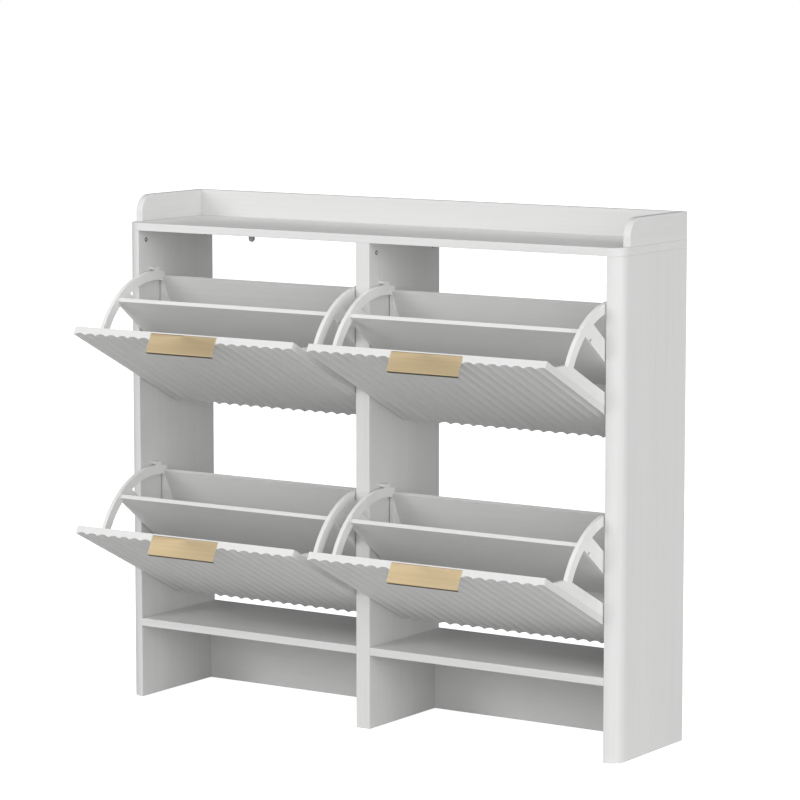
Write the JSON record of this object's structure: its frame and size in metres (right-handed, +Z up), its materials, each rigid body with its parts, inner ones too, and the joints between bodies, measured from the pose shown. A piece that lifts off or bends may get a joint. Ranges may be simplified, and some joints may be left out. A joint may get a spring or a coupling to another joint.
{
  "type": "shoe cabinet",
  "caption": "Slim shoe cabinet with tilting fluted drawers on pivots, fan-shaped side brackets, edge handles, a railed top tray and open toe space.",
  "frame": {"origin": "on the floor, under the centre of the carcass, at the middle of the centre divider's foot", "axes": "+X to the right, +Y to the back, +Z up; the fronts face -Y"},
  "size_m": [1.1, 0.4583, 0.98],
  "materials": {
    "board": "white foil with a fine upright wood grain, satin",
    "fluted_board": "moulded board with upright hollow flutes, white satin film",
    "white_plastic": "moulded white plastic",
    "gold": "brushed champagne gold sheet",
    "steel": "zinc-plated steel",
    "zinc": "die-cast alloy",
    "beech": "plain beech",
    "rubber": "moulded grey rubber"
  },
  "bodies": {
    "carcass": {"side_panel_left": "board", "side_panel_right": "board", "centre_divider": "board", "top_board": "board", "gallery_side_left": "board", "gallery_side_right": "board", "gallery_rail": "board", "bottom_shelf_left": "board", "bottom_shelf_right": "board", "toe_board_left": "board", "toe_board_right": "board", "pivot_pins": "steel", "stop_pins": "white_plastic", "cam_locks": "zinc", "connecting_bolts": "steel", "dowels": "beech", "door_bumper": "rubber", "bumper_stud": "steel"},
    "upper_left_drawer": {"upper_left_front": "fluted_board", "upper_left_divider_panel": "board", "upper_left_back_panel": "board", "upper_left_bottom_board": "board", "upper_left_bracket_left": "white_plastic", "upper_left_bracket_right": "white_plastic", "upper_left_handle": "gold", "upper_left_bracket_screws": "steel"},
    "upper_right_drawer": {"upper_right_front": "fluted_board", "upper_right_divider_panel": "board", "upper_right_back_panel": "board", "upper_right_bottom_board": "board", "upper_right_bracket_left": "white_plastic", "upper_right_bracket_right": "white_plastic", "upper_right_handle": "gold", "upper_right_bracket_screws": "steel"},
    "lower_left_drawer": {"lower_left_front": "fluted_board", "lower_left_divider_panel": "board", "lower_left_back_panel": "board", "lower_left_bottom_board": "board", "lower_left_bracket_left": "white_plastic", "lower_left_bracket_right": "white_plastic", "lower_left_handle": "gold", "lower_left_bracket_screws": "steel"},
    "lower_right_drawer": {"lower_right_front": "fluted_board", "lower_right_divider_panel": "board", "lower_right_back_panel": "board", "lower_right_bottom_board": "board", "lower_right_bracket_left": "white_plastic", "lower_right_bracket_right": "white_plastic", "lower_right_handle": "gold", "lower_right_bracket_screws": "steel"}
  },
  "joints": [
    {"name": "upper_left_tilt", "type": "hinge", "parent": "carcass", "child": "upper_left_drawer", "pos_m": [-0.2675, -0.083, 0.6527], "axis": [-1, 0, 0], "range_deg": [0, 63.5]},
    {"name": "upper_right_tilt", "type": "hinge", "parent": "carcass", "child": "upper_right_drawer", "pos_m": [0.2675, -0.083, 0.6527], "axis": [-1, 0, 0], "range_deg": [0, 63.5]},
    {"name": "lower_left_tilt", "type": "hinge", "parent": "carcass", "child": "lower_left_drawer", "pos_m": [-0.2675, -0.083, 0.2727], "axis": [-1, 0, 0], "range_deg": [0, 63.5]},
    {"name": "lower_right_tilt", "type": "hinge", "parent": "carcass", "child": "lower_right_drawer", "pos_m": [0.2675, -0.083, 0.2727], "axis": [-1, 0, 0], "range_deg": [0, 63.5]}
  ]
}
